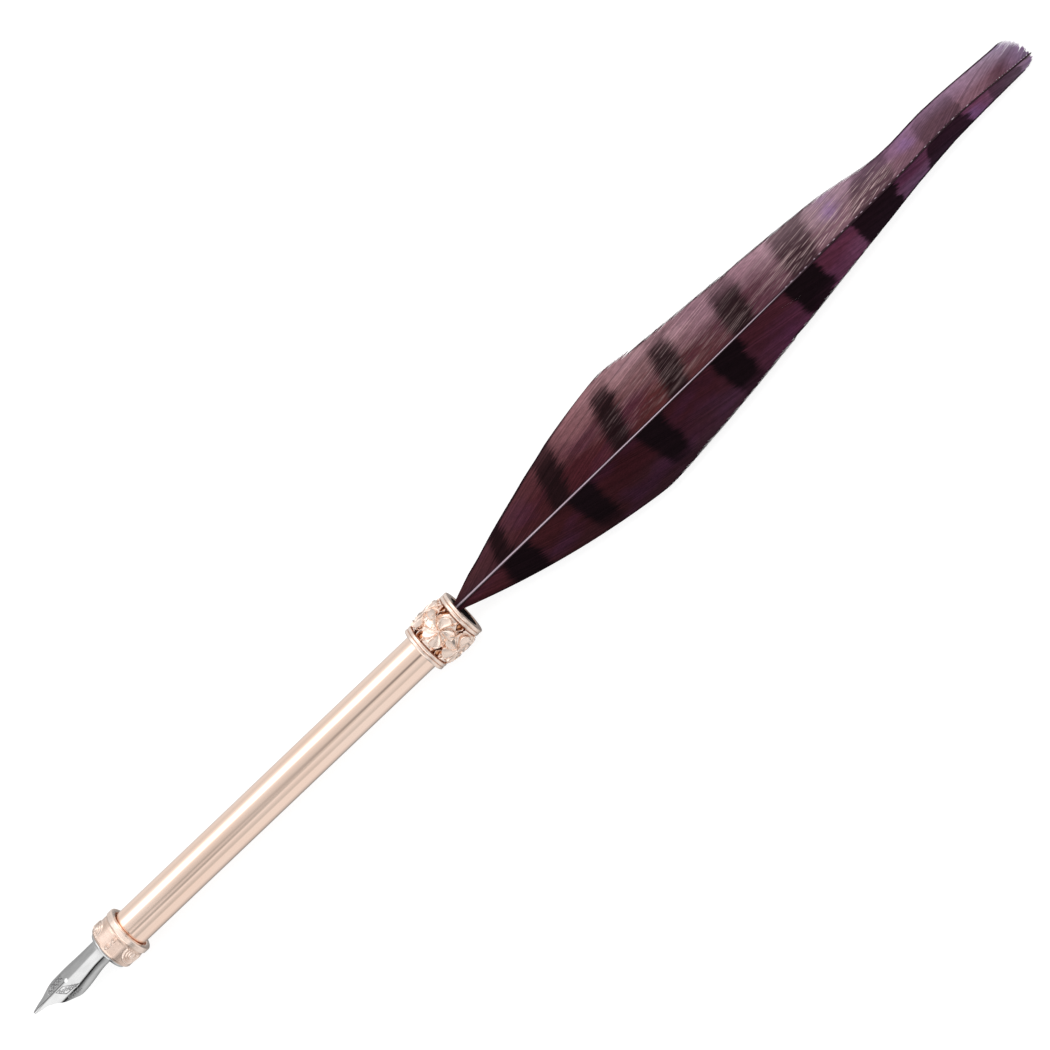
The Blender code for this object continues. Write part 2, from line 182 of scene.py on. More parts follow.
# How bright the studio is at each angle from straight up, in degrees towards +Y: a long softbox on that side,
# dark gaps beside the middle, and paler walls. The crown's end of the barrel mirrors one row of this, and the
# collar's end another. The nib leans forward, so what it mirrors is the studio's front end.
WALL = [(-180, 0.25), (-145, 0.4), (-128, 0.66), (-106, 0.89), (-67, 0.9)]
SOFTBOX = [(37, 1.0), (42, 1.75), (69, 1.72), (77, 1.2), (84, 0.92), (100, 0.77), (128, 0.85), (144, 0.81),
           (180, 0.5)]
CROWN_END = WALL + [(-60, 0.68), (-54, 0.68), (-46, 0.78), (-33, 0.86), (-28, 0.93), (-23, 0.84), (-17, 0.68),
                    (-14, 0.32), (-9, 0.28), (-5, 0.5), (0, 0.78), (12, 0.8), (30, 0.9)] + SOFTBOX
COLLAR_END = WALL + [(-60, 0.64), (-54, 0.66), (-40, 0.79), (-34, 0.92), (-29, 0.78), (-24, 0.42),
                     (-20, 0.42), (-16, 0.6), (-11, 0.76), (-3, 0.48), (1, 0.48), (6, 0.64), (18, 0.74),
                     (28, 0.84)] + SOFTBOX
FRONT_END = [(-180, 0.5), (-130, 0.85), (-100, 0.7), (-75, 0.45), (-63, 0.28), (-59, 0.02), (-46, 0.02),
             (-42, 1.0), (-35, 1.45), (36, 1.45), (46, 0.68), (70, 0.62), (100, 0.65), (130, 0.5), (180, 0.5)]

# Each later row takes over between these two forward directions, as X of the line of sight.
COLLAR_TAKES_OVER = (-0.17, -0.25)
FRONT_TAKES_OVER = (-0.298, -0.309)


def add_world():
    """The studio as bands of brightness along the pen. A view past the floor sees plain white."""
    world = bpy.data.worlds.new("studio")
    world.use_nodes = True
    bpy.context.scene.world = world
    nodes = Nodes(world.node_tree)
    split = nodes.node("SeparateXYZ")
    nodes.feed(split.inputs["Vector"], nodes.node("TexCoord").outputs["Generated"])
    angle = nodes.maths("DEGREES", nodes.maths("ARCTAN2", split.outputs["Y"], split.outputs["Z"]))

    def row(stops):
        greys = [(degrees, (brightness,) * 3) for degrees, brightness in stops]
        return nodes.ramp(angle, greys, -180, 180)

    blend = row(CROWN_END)
    for stops, takes_over in ((COLLAR_END, COLLAR_TAKES_OVER), (FRONT_END, FRONT_TAKES_OVER)):
        blend = nodes.mix(nodes.between(split.outputs["X"], *takes_over), blend, row(stops))
    past_floor = nodes.node("LightPath").outputs["Is Camera Ray"]
    seen = nodes.mix(past_floor, blend, (1.0, 1.0, 1.0))
    nodes.feed(nodes.tree.nodes["Background"].inputs["Color"], seen)


def add_fill_lamp():
    """A weak lamp above the feather's left side. It gives the barbs some relief."""
    data = bpy.data.lights.new("fill_lamp", "AREA")
    data.size = 0.4
    data.energy = 1.2
    lamp = bpy.data.objects.new("fill_lamp", data)
    bpy.context.scene.collection.objects.link(lamp)
    above = Vector((180, 300, 500))
    lamp.location = PEN + above * MM
    lamp.rotation_mode = "QUATERNION"
    lamp.rotation_quaternion = (above - Vector((180, 0, 0))).to_track_quat("Z", "Y")
    lamp.visible_camera = False
    lamp.visible_glossy = False


def add_floor():
    """A pale light table. It glows a little, so shadows on it stay faint, and metal doesn't mirror it."""
    half_width = 4.0
    mesh = bpy.data.meshes.new("floor")
    corners = [(x * half_width, y * half_width, 0.0) for x, y in ((-1, -1), (1, -1), (1, 1), (-1, 1))]
    mesh.from_pydata(corners, [], [(0, 1, 2, 3)])
    look = Look("light table", Base_Color=(0.36, 0.36, 0.36), Roughness=0.9, Specular_IOR_Level=0.0,
                Emission_Color=(1.0, 1.0, 1.0), Emission_Strength=0.76)
    mesh.materials.append(look.material)
    floor = bpy.data.objects.new("floor", mesh)
    bpy.context.scene.collection.objects.link(floor)
    floor.visible_glossy = False


# ---------------------------------------------------------------- materials


def tone(code):
    """A colour written as six hex digits, in the renderer's linear values."""
    parts = (int(code[i:i + 2], 16) / 255 for i in (0, 2, 4))
    return tuple(part / 12.92 if part < 0.04045 else ((part + 0.055) / 1.055) ** 2.4 for part in parts)


class Nodes:
    """Short calls for the nodes of one tree. Each gives back an output."""

    def __init__(self, tree):
        self.tree = tree

    def node(self, kind, **settings):
        made = self.tree.nodes.new("ShaderNode" + kind)
        for name, value in settings.items():
            setattr(made, name, value)
        return made

    def feed(self, socket, source):
        """Puts a node's output, a number or a colour into a socket."""
        if isinstance(source, bpy.types.NodeSocket):
            self.tree.links.new(source, socket)
        elif isinstance(source, tuple):
            socket.default_value = (*source, 1.0)[: len(socket.default_value)]
        else:
            socket.default_value = source

    def put(self, kind, output, sources, **settings):
        """A new node with these sources in its sockets."""
        made = self.node(kind, **settings)
        for socket, source in sources.items():
            self.feed(made.inputs[socket], source)
        return made.outputs[output]

    def maths(self, operation, a, b=0.0):
        return self.put("Math", "Value", {0: a, 1: b}, operation=operation)

    def between(self, value, low, high, start=0.0, end=1.0):
        """Stretches value from low..high to start..end, and holds it inside them."""
        sources = {"Value": value, "From Min": low, "From Max": high, "To Min": start, "To Max": end}
        return self.put("MapRange", "Result", sources)

    def ramp(self, value, stops, low, high):
        """Colours along a value: each stop is a position between low and high, and a colour."""
        made = self.node("ValToRGB")
        elements = made.color_ramp.elements
        while len(elements) < len(stops):
            elements.new(0.5)
        for element, (position, colour) in zip(elements, stops):
            element.position = (position - low) / (high - low)
            element.color = (*colour, 1.0)
        self.feed(made.inputs["Fac"], self.between(value, low, high))
        return made.outputs["Color"]

    def mix(self, share, first, second, blend_type="MIX"):
        sources = {"Factor": share, "A": first, "B": second}
        return self.put("Mix", "Result", sources, data_type="RGBA", blend_type=blend_type)

    def grey(self, value):
        return self.put("CombineColor", "Color", {"Red": value, "Green": value, "Blue": value})


class Look(Nodes):
    """A material's nodes. Lengths are in millimetres."""

    def __init__(self, name, **finish):
        self.material = bpy.data.materials.new(name)
        self.material.use_nodes = True
        super().__init__(self.material.node_tree)
        self.shader = self.tree.nodes["Principled BSDF"]
        self.bumps = None
        for socket, value in finish.items():
            self.finish(socket.replace("_", " "), value)

    def finish(self, socket, source):
        self.feed(self.shader.inputs[socket], source)

    def noise(self, per_mm, detail=2.0):
        """Noise in object coordinates, with this many units to a millimetre along each axis."""
        here = self.node("TexCoord").outputs["Object"]
        scale = tuple(units / MM for units in per_mm)
        placed = self.put("Mapping", "Vector", {"Vector": here, "Scale": scale})
        return self.put("TexNoise", "Fac", {"Vector": placed, "Scale": 1.0, "Detail": detail})

    def swing(self, noise, start=0.0, end=1.0):
        """Stretches the range that a noise mostly keeps to."""
        return self.between(noise, 0.3, 0.7, start, end)

    def attribute(self, name):
        return self.node("Attribute", attribute_name=name).outputs["Fac"]

    def bump(self, height, depth):
        """Adds a bump of this depth on top of those already there."""
        sources = {"Distance": depth * MM, "Height": height}
        if self.bumps:
            sources["Normal"] = self.bumps
        self.bumps = self.put("Bump", "Normal", sources)
        self.finish("Normal", self.bumps)


ROSE = (0.97, 0.76, 0.645)
ROSE_WARM = (0.965, 0.72, 0.59)
CAST = (0.95, 0.79, 0.7)
CAST_WARM = (0.93, 0.745, 0.64)
# A dark copper, used as painted shade in the cast pieces' hollows.
CAST_HOLLOW_SHADE = (0.42, 0.18, 0.09)
STEEL = (0.6, 0.6, 0.6)
STEEL_DULL = (0.4, 0.4, 0.41)
# The dark of the nib's engraved lines, and of the painted shade beside its slit.
DARK_LINE_TONE = (0.05, 0.045, 0.05)


def polished_rose_gold():
    """Plated tube: the tone drifts slowly, and hair-fine lines run along it."""
    look = Look("polished rose gold", Metallic=1.0)
    drift = look.noise((0.04, 0.25, 0.25))
    look.finish("Base Color", look.mix(look.swing(drift), ROSE, ROSE_WARM))
    hairs = look.noise((0.02, 6.0, 6.0), detail=4.0)
    smears = look.noise((0.12, 0.5, 0.5), detail=3.0)
    spread = look.maths("MULTIPLY", look.swing(hairs, 0.6, 1.0), look.swing(smears, 0.08, 0.12))
    look.finish("Roughness", spread)
    look.bump(hairs, 0.0015)
    return look.material


def cast_rose_gold(name):
    """Cast and plated: softer than the tube, with faint pits, and a dark copper tone painted into its hollows
    as shade.
    """
    look = Look(name, Metallic=1.0)
    drift = look.noise((0.5, 0.5, 0.5))
    plating = look.mix(look.between(drift, 0.35, 0.65), CAST, CAST_WARM)
    # Painted shade: grooves, recesses and bores are mixed towards a dark copper tone.
    look.finish("Base Color", look.mix(look.attribute("hollow_shade"), plating, CAST_HOLLOW_SHADE))
    grain = look.noise((6.0, 6.0, 6.0), detail=3.0)
    look.finish("Roughness", look.swing(grain, 0.2, 0.3))
    look.bump(look.noise((1.2, 1.2, 1.2)), 0.012)
    look.bump(grain, 0.0015)
    return look.material


def polished_steel(name, colour, roughness, with_dark_lines=False):
    """Drawn lines run along it. Where it has dark lines, painted shade darkens it beside its slit, and its
    engraved lines are dark.
    """
    look = Look(name, Metallic=1.0)
    drift = look.noise((0.3, 0.8, 0.8))
    darker = tuple(0.9 * value for value in colour)
    metal = look.mix(look.between(drift, 0.35, 0.65), colour, darker)
    look.finish("Base Color", look.mix(look.attribute("slit_shade_and_lines"), metal, DARK_LINE_TONE) if with_dark_lines else metal)
    lines = look.noise((0.25, 14.0, 14.0), detail=3.0)
    look.finish("Roughness", look.swing(lines, 0.8 * roughness, 1.2 * roughness))
    look.bump(lines, 0.001)
    return look.material


def dull_metal(name, colour, roughness):
    """Turned metal that stays out of sight: rings of tool marks and a patchy film."""
    look = Look(name, Metallic=1.0)
    film = look.noise((0.6, 0.6, 0.6), detail=4.0)
    darker = tuple(0.6 * value for value in colour)
    look.finish("Base Color", look.mix(look.between(film, 0.4, 0.7), colour, darker))
    look.finish("Roughness", look.swing(film, roughness, roughness + 0.15))
    look.bump(look.noise((9.0, 0.3, 0.3)), 0.006)
    return look.material


def liner_copper():
    """Bright copper where the windows show it, with painted shade in dark brown at their edges and near-black
    on its inner faces, which show inside the mouth.
    """
    look = Look("liner copper")
    film = look.noise((1.2, 1.2, 1.2), detail=4.0)
    copper = look.mix(look.between(film, 0.35, 0.7), (0.95, 0.5, 0.27), (0.55, 0.2, 0.08))
    # Painted shade: dark brown near the windows' edges, where the openwork overhangs the copper.
    copper = look.mix(look.attribute("edge"), copper, (0.14, 0.035, 0.015))
    # Painted shade: the inner faces turn near-black and lose their metal, so the mouth reads dark.
    mouth_shade = look.attribute("mouth_shade")
    look.finish("Base Color", look.mix(mouth_shade, copper, (0.008, 0.004, 0.006)))
    look.finish("Metallic", look.maths("SUBTRACT", 1.0, mouth_shade))
    look.finish("Roughness", look.swing(film, 0.25, 0.45))
    look.bump(film, 0.006)
    return look.material


def grommet_rubber():
    look = Look("black rubber", Specular_IOR_Level=0.35)
    dust = look.noise((5.0, 5.0, 5.0), detail=4.0)
    dusty = look.mix(look.between(dust, 0.5, 0.75), (0.012, 0.008, 0.01), (0.06, 0.035, 0.045))
    look.finish("Base Color", dusty)
    look.finish("Roughness", look.swing(dust, 0.5, 0.75))
    look.bump(dust, 0.02)
    return look.material


def stem_horn():
    """Pale lilac horn on the crest, with painted shade: dark plum on the flanks and all round near the
    feather's end.
    """
    look = Look("stem horn", Specular_IOR_Level=0.15)
    streaks = look.noise((0.15, 5.0, 5.0), detail=3.0)
    pale = look.mix(look.swing(streaks), tone("9c8a96"), tone("bbaab5"))
    dark = look.mix(look.swing(streaks), tone("1c0c13"), tone("301822"))
    # Painted shade: the dark mark turns the horn dark plum.
    look.finish("Base Color", look.mix(look.attribute("dark"), pale, dark))
    look.finish("Roughness", look.swing(streaks, 0.4, 0.55))
    look.bump(streaks, 0.01)
    return look.material


def barb_keratin(name, near, far, bar_tone, edge_tone):
    """One vane's barbs: tones near the stem and at the edge, changing along the feather, then marks."""
    look = Look(name, Specular_IOR_Level=0.03)
    tones = [
        look.ramp(look.attribute("along"), [(at, tone(code)) for at, code in stops], VANE_START, FEATHER_END)
        for stops in (near, far)
    ]
    mottle = look.noise((0.1, 0.4, 0.4), detail=4.0)
    fine = look.noise((0.8, 3.0, 3.0), detail=3.0)
    out = look.maths("ADD", look.attribute("reach"), look.swing(mottle, -0.14, 0.14))
    base = look.mix(look.between(out, 0.35, 0.92), *tones)
    patches = look.between(look.noise((0.07, 0.2, 0.2), detail=3.0), 0.5, 0.7, 0.0, 0.16)
    base = look.mix(patches, base, tone("4a2850"))
    lilac = look.maths("MULTIPLY", look.attribute("lilac"), look.between(mottle, 0.35, 0.6, 0.2, 1.0))
    base = look.mix(lilac, base, tone("81609a"))
    base = look.mix(look.attribute("bar"), base, bar_tone)
    # Painted highlight: pale glints along some barbs, broken up by noise.
    broken = look.between(look.noise((0.15, 1.5, 1.5), detail=2.0), 0.4, 0.55)
    base = look.mix(look.maths("MULTIPLY", look.attribute("glint"), broken), base, tone("cdb1b1"))
    base = look.mix(look.attribute("rim"), base, edge_tone)
    luck = look.between(look.attribute("strand"), 0.0, 1.0, 0.72, 1.18)
    shade = look.maths("MULTIPLY", luck, look.swing(fine, 0.8, 1.12))
    look.finish("Base Color", look.mix(1.0, base, look.grey(shade), "MULTIPLY"))
    look.finish("Roughness", look.swing(fine, 0.42, 0.6))
    look.bump(look.noise((9.0, 9.0, 9.0)), 0.01)
    return look.material


# ---------------------------------------------------------------- meshes


def grid_faces(rows, columns, closed_rows=False, closed_columns=False):
    """Quads between the points of a grid, which are counted row by row."""
    i = np.arange(rows if closed_rows else rows - 1)[:, None]
    j = np.arange(columns if closed_columns else columns - 1)[None, :]
    next_i = (i + 1) % rows
    next_j = (j + 1) % columns
    corners = [i * columns + j, i * columns + next_j, next_i * columns + next_j, next_i * columns + j]
    return np.stack(corners, axis=-1).reshape(-1, 4)


def turned_outwards(points, faces):
    """The faces, reversed if they enclose a negative volume."""
    first, second, third = (points[faces[:, k]] for k in (0, 1, 2))
    fourth = points[faces[:, 3]]
    volume = np.einsum("ij,ij->i", first, np.cross(second, third)).sum()
    volume += np.einsum("ij,ij->i", first, np.cross(third, fourth)).sum()
    return faces[:, ::-1] if volume < 0 else faces


def add_piece(name, points, faces, look, nodes, body="pen", marks=None, sharp=35.0):
    """A mesh from points in the pen's frame, standing for the CAD nodes and riding on their body."""
    mesh = bpy.data.meshes.new(name)
    mesh.from_pydata((np.asarray(points) * MM).tolist(), [], [list(face) for face in faces])
    mesh.shade_smooth()
    mesh.set_sharp_from_angle(angle=math.radians(sharp))
    mesh.materials.append(look)
    for mark, values in (marks or {}).items():
        attribute = mesh.attributes.new(mark, "FLOAT", "POINT")
        attribute.data.foreach_set("value", np.asarray(values, np.float32).ravel())
    obj = bpy.data.objects.new(name, mesh)
    bpy.context.scene.collection.objects.link(obj)
    obj.location = PEN
    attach(obj, body)
    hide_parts(*nodes)


def rounded(corners, steps=5):
    """A closed outline through (x, radius, rounding) corners, in which each rounded corner becomes an arc."""
    outline = []
    for i, (x, radius, rounding) in enumerate(corners):
        here = Vector((x, radius))
        if not rounding:
            outline.append(here)
            continue
        back = (Vector(corners[i - 1][:2]) - here).normalized()
        ahead = (Vector(corners[(i + 1) % len(corners)][:2]) - here).normalized()
        half = back.angle(ahead) / 2
        centre = here + (back + ahead).normalized() * rounding / math.sin(half)
        start = here + back * rounding / math.tan(half) - centre
        end = here + ahead * rounding / math.tan(half) - centre
        outline.extend(
            centre + start.lerp(end, step / steps).normalized() * rounding for step in range(steps + 1)
        )
    return np.array([tuple(point) for point in outline])


def dense(outline, step, least_radius):
    """The outline with extra points on its long stretches outside a radius."""
    made = []
    for start, end in zip(outline, np.roll(outline, -1, axis=0)):
        outside = min(start[1], end[1]) > least_radius
        count = max(1, math.ceil(np.linalg.norm(end - start) / step)) if outside else 1
        made.extend(start + (end - start) * k / count for k in range(count))
    return np.array(made)


def wrapped(x, angle, radius):
    """Points at these angles about the axis."""
    x, angle, radius = np.broadcast_arrays(x, angle, radius)
    return np.stack([x, radius * np.sin(angle), radius * np.cos(angle)], axis=-1)


def turned(outline, segments, raise_by=None):
    """Points and faces of a closed outline of (x, radius) turned about the axis. raise_by adds relief."""
    angles = np.arange(segments)[None, :] * 2 * math.pi / segments
    x = outline[:, :1]
    radius = outline[:, 1:]
    if raise_by:
        radius = radius + raise_by(x, angles, radius)
    points = wrapped(x, angles, radius).reshape(-1, 3)
    faces = grid_faces(len(outline), segments, closed_rows=True, closed_columns=True)
    return points, turned_outwards(points, faces)


def add_turned(name, corners, segments, look, node, aside=0.0):
    """A plain turned piece from its outline's corners, on an axis that may lie aside of the pen's."""
    points, faces = turned(rounded(corners), segments)
    add_piece(name, points + (0.0, aside, 0.0), faces, look, [node])


def thick_shell(outer, inner, faces):
    """A closed sheet between two matching surfaces: both of them, and a wall round every open border."""
    edges = np.concatenate([faces[:, [k, (k + 1) % 4]] for k in range(4)])
    codes = edges[:, 0] * len(outer) + edges[:, 1]
    twins = edges[:, 1] * len(outer) + edges[:, 0]
    border = edges[~np.isin(codes, twins)]
    walls = np.concatenate([border[:, ::-1], border + len(outer)], axis=1)
    return np.concatenate([outer, inner]), np.concatenate([faces, faces[:, ::-1] + len(outer), walls])


def without_spares(points, faces, marks):
    """Drops the points that no face uses."""
    used = np.unique(faces)
    renumber = np.zeros(len(points), int)
    renumber[used] = np.arange(len(used))
    return points[used], renumber[faces], {mark: values[used] for mark, values in marks.items()}


def signed_turn(angle):
    """An angle brought into -180..180 degrees, in radians."""
    return (angle + math.pi) % (2 * math.pi) - math.pi


def ridge(distance, half_width):
    """A soft raised line: one on the line itself, and zero from half its width out."""
    return 0.5 + 0.5 * np.cos(math.pi * np.clip(np.abs(distance) / half_width, 0, 1))


def smooth_step(value, low, high):
    share = np.clip((value - low) / (high - low), 0, 1)
    return share * share * (3 - 2 * share)


def to_segment(x, y, start, end):
    """How far points are from a straight stretch."""
    dx, dy = end[0] - start[0], end[1] - start[1]
    share = np.clip(((x - start[0]) * dx + (y - start[1]) * dy) / (dx * dx + dy * dy), 0, 1)
    return np.hypot(x - start[0] - share * dx, y - start[1] - share * dy)


# ---------------------------------------------------------------- barrel, ferrule and hidden turned parts


def make_barrel():
    """The plain tube. The extra rings near its ends keep its shading true along its length."""
    soft = 0.1
    straight = 0.4
    corners = [
        (BARREL_FRONT, BARREL_RADIUS, soft),
        (BARREL_FRONT + straight, BARREL_RADIUS, 0),
        (BARREL_REAR - straight, BARREL_RADIUS, 0),
        (BARREL_REAR, BARREL_RADIUS, soft),
        (BARREL_REAR, BARREL_BORE, soft),
        (BARREL_FRONT, BARREL_BORE, soft),
    ]
    add_turned("barrel_shell", corners, 256, polished_rose_gold(), "barrel_tube")


def make_ferrule(steel):
    """The sleeve round the nib, with a rounded lip in front of the collar."""
    lip_rear = COLLAR_FRONT - GAP
    corners = [
        (FERRULE_FRONT, LIP_RADIUS, 0.2),
        (lip_rear, LIP_RADIUS, 0.12),
        (lip_rear, SLEEVE_RADIUS, 0),
        (FERRULE_REAR, SLEEVE_RADIUS, 0.1),
        (FERRULE_REAR, FERRULE_BORE, 0),
        (FERRULE_FRONT, FERRULE_BORE, 0.2),
    ]
    add_turned("ferrule_sleeve", corners, 192, steel, "nib_ferrule")


def make_core(steel):
    """The pin inside the nib, with a chamfered nose."""
    nose = 1.5
    on_axis = 0.02
    corners = [
        (CORE_FRONT, on_axis, 0),
        (CORE_FRONT, CORE_RADIUS - 0.6, 0.15),
        (CORE_FRONT + nose, CORE_RADIUS, 0.4),
        (CORE_REAR, CORE_RADIUS, 0.1),
        (CORE_REAR, on_axis, 0),
    ]
    add_turned("core_pin", corners, 96, steel, "nib_core", aside=NIB_OFFSET)


def make_liner():
    """The thin wall behind the crown's openwork, fine enough to carry painted shade along the windows'
    outlines.
    """
    outline = rounded([
        (LINER_FRONT, LINER_RADIUS, 0.08),
        (LINER_REAR, LINER_RADIUS, 0.08),
        (LINER_REAR, BARREL_RADIUS + GAP, 0.08),
        (LINER_FRONT, BARREL_RADIUS + GAP, 0.08),
    ])
    outline = dense(outline, 0.14, LINER_RADIUS - 0.2)
    points, faces = turned(outline, 400)
    radius = np.hypot(points[:, 1], points[:, 2])
    arc = (np.arctan2(points[:, 1], points[:, 2]) - FIRST_FLOWER) * ARC_RADIUS
    # Painted shade: darker copper near the windows' edges.
    edge = 1 - smooth_step(window_depth(points[:, 0] - CROWN_MIDDLE, arc), 0.05, 0.4)
    # Painted shade: the inner faces are marked to turn near-black.
    add_piece("liner_sleeve", points, faces, liner_copper(), ["crown_liner"],
              marks={"mouth_shade": radius < LINER_RADIUS - 0.12, "edge": edge})


def make_grommet():
    """The soft plug, dished round the quill."""
    on_axis = QUILL_RADIUS - 0.4
    corners = [
        (GROMMET_REAR, GROMMET_RADIUS, 0.25),
        (GROMMET_REAR, 0.88 * GROMMET_RADIUS, 0.3),
        (GROMMET_REAR - 0.6, 0.6 * GROMMET_RADIUS, 0.5),
        (GROMMET_REAR - 0.8, on_axis, 0),
        (GROMMET_FRONT, on_axis, 0),
        (GROMMET_FRONT, GROMMET_RADIUS, 0.1),
    ]
    add_turned("grommet_plug", corners, 128, grommet_rubber(), "feather_grommet")


# ---------------------------------------------------------------- collar


def nested_arches(along, around, opens):
    """Three arches one inside the other. opens is +1 if their legs run to the rear, and -1 to the front."""
    crest = 1.3 if opens > 0 else 3.4
    height = 0.0
    for radius, half_width, lift in ((2.4, 0.26, 1.0), (1.72, 0.2, 0.85), (1.1, 0.18, 0.85)):
        centre = crest + opens * 2.4
        ahead = (along - centre) * opens
        distance = np.where(ahead < 0, np.hypot(ahead, around), np.abs(around)) - radius
        fade = 1 - smooth_step(ahead, 0.7, 1.7)
        height = np.maximum(height, lift * ridge(distance, half_width) * fade)
    heart = 1 - smooth_step(np.hypot((along - crest - opens * 2.1) / 1.2, around / 0.55), 0.6, 1.0)
    return np.maximum(height, 0.6 * heart)


def oval_rings(along, around):
    """Two long rings in line, and the thin vine that threads them."""
    height = 0.45 * ridge(around + 0.1 * np.sin(along * 2.2), 0.14)
    for centre, half_length in ((1.7, 0.62), (3.75, 0.72)):
        size = np.hypot((along - centre) / half_length, around / 0.36)
        inside = size < 0.75
        ring = ridge((size - 1) * 0.36, 0.2)
        height = np.where(inside, ring, np.maximum(height, ring))
    return height


def collar_motifs(along, angle):
    """The relief between the collar's front edge and its groove, from 0 to 1."""
    arches_to_front = functools.partial(nested_arches, opens=-1)
    arches_to_rear = functools.partial(nested_arches, opens=1)
    ornaments = [oval_rings, arches_to_front, oval_rings, arches_to_rear, oval_rings, arches_to_rear]
    first = math.radians(7)
    height = np.zeros(np.broadcast(along, angle).shape)
    for index, ornament in enumerate(ornaments):
        around = signed_turn(angle - first - index * 2 * math.pi / len(ornaments)) * COLLAR_RADIUS
        near = np.abs(around) < math.pi * COLLAR_RADIUS / len(ornaments)
        height = np.where(near, np.maximum(height, ornament(along, around)), height)
    return height * smooth_step(along, 0.45, 0.8) * (1 - smooth_step(along, 4.1, 4.4))


def make_collar():
    """The cast ring: a rounded front edge, a body with relief, a shallow groove and a raised rear rim."""
    segments = 640
    body = COLLAR_RADIUS - 0.24
    groove = COLLAR_RADIUS - 0.38
    rim_front = COLLAR_REAR - 1.6
    lip_clearance = LIP_RADIUS + 0.14
    socket = BARREL_RADIUS + GAP
    lift = 0.26

    def raise_by(x, angle, radius):
        on_body = (radius > body - 0.3) & (x < rim_front - 0.4)
        return np.where(on_body, lift * collar_motifs(x - COLLAR_FRONT, angle), 0.0)

    outline = rounded([
        (COLLAR_FRONT, body - 0.45, 0.12),
        (COLLAR_FRONT + 0.25, body - 0.08, 0.25),
        (COLLAR_FRONT + 0.6, body, 0.5),
        (rim_front - 0.5, body, 0.2),
        (rim_front - 0.3, groove, 0.12),
        (rim_front, groove, 0.1),
        (rim_front + 0.12, COLLAR_RADIUS, 0.3),
        (COLLAR_REAR, COLLAR_RADIUS, 0.3),
        (COLLAR_REAR, socket + 0.38, 0.12),
        (COLLAR_REAR - 0.55, socket + 0.3, 0.05),
        (COLLAR_REAR - 0.65, socket, 0.05),
        (BARREL_FRONT - GAP, socket, 0),
        (BARREL_FRONT - GAP, BARREL_BORE, 0),
        (COLLAR_FRONT + 0.35, BARREL_BORE, 0),
        (COLLAR_FRONT + 0.35, lip_clearance, 0),
        (COLLAR_FRONT, lip_clearance, 0.08),
    ])
    outline = dense(outline, 0.07, body - 0.4)
    points, faces = turned(outline, segments, raise_by)
    x = np.repeat(outline[:, 0], segments)
    radius = np.hypot(points[:, 1], points[:, 2])
    on_top = (radius > body - 0.5) & (x < rim_front)
    # Painted shade: the lower ground between the relief, and the bore where the barrel enters, turn towards
    # dark copper.
    hollow_shade = np.where(on_top, 0.24 * (1 - smooth_step(radius, body, body + 0.12)), 0.0)
    hollow_shade = np.where(radius < socket + 0.35, 0.9, hollow_shade)
    add_piece("collar_ring", points, faces, cast_rose_gold("cast collar"), ["front_collar"],
              marks={"hollow_shade": hollow_shade})


# ---------------------------------------------------------------- crown

CROWN_MIDDLE = (CROWN_FRONT + CROWN_REAR) / 2
ARC_RADIUS = 6.0
PITCH = 2 * math.pi * ARC_RADIUS / FLOWERS
SWIRL = math.radians(6.0)

# Each petal: its direction from the flower's centre in degrees (from the barrel's axis towards +Y), its
# length and its greatest half width in mm.
PETAL_SHAPES = [(90, 4.0, 1.4), (145, 3.8, 1.25), (213, 3.7, 1.25), (302, 3.5, 1.25), (14, 3.6, 1.3)]


def cupped_petal(along, around, direction, length, half_width):
    """One petal's height over the wall: a dish inside a raised lip, on an axis that bends as it goes out."""
    reach = np.hypot(along, around)
    turn = np.arctan2(around, along) - math.radians(direction) + SWIRL * (reach - 2.2)
    out = reach * np.cos(turn) / length
    inside = np.clip(out, 0, 1)
    widest = 1.75
    half = widest * half_width * inside * np.sqrt(1 - inside**3)
    beyond = np.where(out > 1, (out - 1) * length, 0) + np.where(out < 0, -out * length, 0)
    across = np.abs(reach * np.sin(turn))
    to_lip = np.hypot(np.clip(across - half, 0, None), beyond) - np.clip(half - across, 0, None) * 0.85
    lip_height = 0.98 + 0.2 * (1 - inside)
    lip = lip_height * ridge(to_lip + 0.1, 0.34)
    dish = np.where(to_lip < -0.1, 0.66 + 0.3 * (across / np.maximum(half, 0.1)) ** 2, 0.0)
    return np.maximum(lip, np.minimum(dish, lip_height))


def pinwheel_flower(along, around):
    """A flower's height over the crown's wall: five petals, a boss, and a few stamens on the top petal."""
    reach = np.hypot(along, around)
    boss = 1.15 * (1 - smooth_step(reach, 0.15, 0.6))
    ground = 0.68 * (1 - smooth_step(reach, 1.6, 3.4))
    height = np.maximum(boss, ground)
    for petal in PETAL_SHAPES:
        height = np.maximum(height, cupped_petal(along, around, *petal))
    for dot_along, dot_around in ((-0.15, 1.3), (-0.45, 1.75), (-0.1, 2.1)):
        dot = np.hypot(along - dot_along, around - dot_around)
        height = np.maximum(height, 0.98 * np.sqrt(np.clip(1 - (dot / 0.2) ** 2, 0, 1)))
    return height


def vines(along, around):
    """The stalks that tie a flower to both rims."""
    height = 0.0
    for start, end in (((-3.2, 1.2), (-4.6, 1.6)), ((1.9, 2.7), (4.6, 2.2)), ((2.9, -1.2), (4.6, -1.9)),
                       ((-3.0, -2.0), (-4.6, -1.7))):
        height = np.maximum(height, 0.8 * ridge(to_segment(along, around, start, end), 0.3))
    return height


